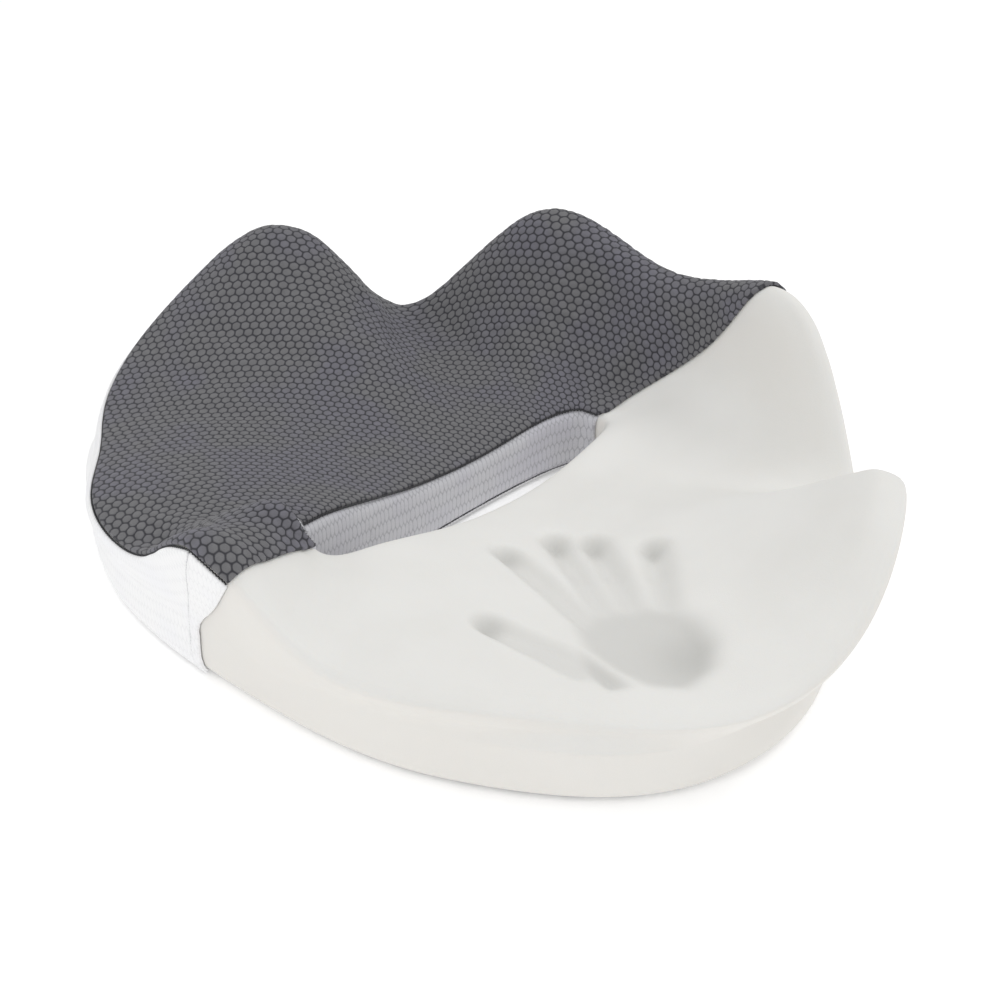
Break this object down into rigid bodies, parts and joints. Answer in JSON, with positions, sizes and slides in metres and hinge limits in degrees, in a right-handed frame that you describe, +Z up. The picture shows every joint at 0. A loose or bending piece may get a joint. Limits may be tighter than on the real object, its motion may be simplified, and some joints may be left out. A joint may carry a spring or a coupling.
{
  "type": "contoured hollow-slot seat cushion",
  "caption": "Petal-shaped memory-foam seat cushion with a centre slot; the left part wears a zipped knit and mesh cover, the right part is bare foam.",
  "frame": {"origin": "on the floor under the middle of the cushion, on its middle plane", "axes": "+Z up; -Y to the front, where the thighs go; +X to the bare right part"},
  "size_m": [0.4736, 0.3753, 0.1153],
  "materials": {
    "foam": "matte open-cell foam skin, off-white",
    "dark_knit": "dark grey honeycomb knit",
    "white_mesh": "white air mesh",
    "grey_mesh": "light grey air mesh",
    "base_cloth": "black non-slip dotted cloth",
    "dark_thread": "polyester thread, dark",
    "white_thread": "polyester thread, white",
    "zip_tape": "woven zip tape, white",
    "zip_coil": "nylon coil",
    "zip_metal": "plated zinc"
  },
  "bodies": {
    "cushion": {"foam_core": "foam", "top_panel": "dark_knit", "side_band": "white_mesh", "side_band_front_end": "white_mesh", "slot_lining": "grey_mesh", "base_panel": "base_cloth", "rim_seam_thread": "dark_thread", "slot_seam_thread": "dark_thread", "front_seam_thread": "white_thread", "base_seam_thread": "white_thread", "slot_foot_thread": "white_thread", "zip_tape_upper": "zip_tape", "zip_tape_lower": "zip_tape", "zip_coil_upper": "zip_coil", "zip_coil_lower": "zip_coil", "zip_stitch_upper": "white_thread", "zip_stitch_lower": "white_thread", "zip_top_stop": "zip_metal", "zip_bottom_stop": "zip_metal"},
    "slider": {"zip_slider": "zip_metal"},
    "pull": {"zip_pull_tab": "zip_metal"}
  },
  "joints": [
    {"name": "slider_travel", "type": "hinge", "parent": "cushion", "child": "slider", "pos_m": [0, -0.029, 0.0152], "axis": [0, 0, 1], "range_deg": [0, 52]},
    {"name": "pull_flip", "type": "hinge", "parent": "slider", "child": "pull", "pos_m": [-0.0252, 0.1755, 0.0152], "axis": [0, 0, -1], "range_deg": [0, 165]}
  ]
}
